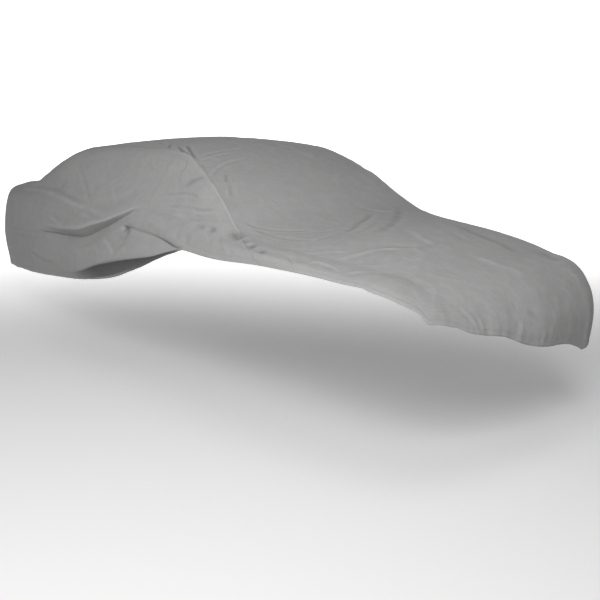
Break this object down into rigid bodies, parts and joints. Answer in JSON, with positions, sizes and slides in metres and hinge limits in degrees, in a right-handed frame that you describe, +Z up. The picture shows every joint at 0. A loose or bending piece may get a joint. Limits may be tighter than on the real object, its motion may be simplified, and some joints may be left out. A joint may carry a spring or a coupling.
{
  "type": "fitted car cover",
  "caption": "Fitted outdoor cover for a long four-door car: a hollow sewn shell of soft non-woven cloth, its right side lifted to the shoulder with a sagging swag and a turned-in hem.",
  "frame": {"origin": "the point on the underside of the crown, on the centre line, where what is covered carries the cover; 1.51 m above the ground", "axes": "+X towards the nose, +Y towards the left side (the far, unlifted side), +Z up"},
  "size_m": [5.0822, 1.9628, 1.145],
  "materials": {
    "cover_cloth": "matte mid-grey non-woven layered cloth, faint fibre mottle, soft creases"
  },
  "bodies": {
    "root": {"centre_panel": "cover_cloth", "right_side_panel": "cover_cloth", "left_side_panel": "cover_cloth"}
  },
  "joints": []
}
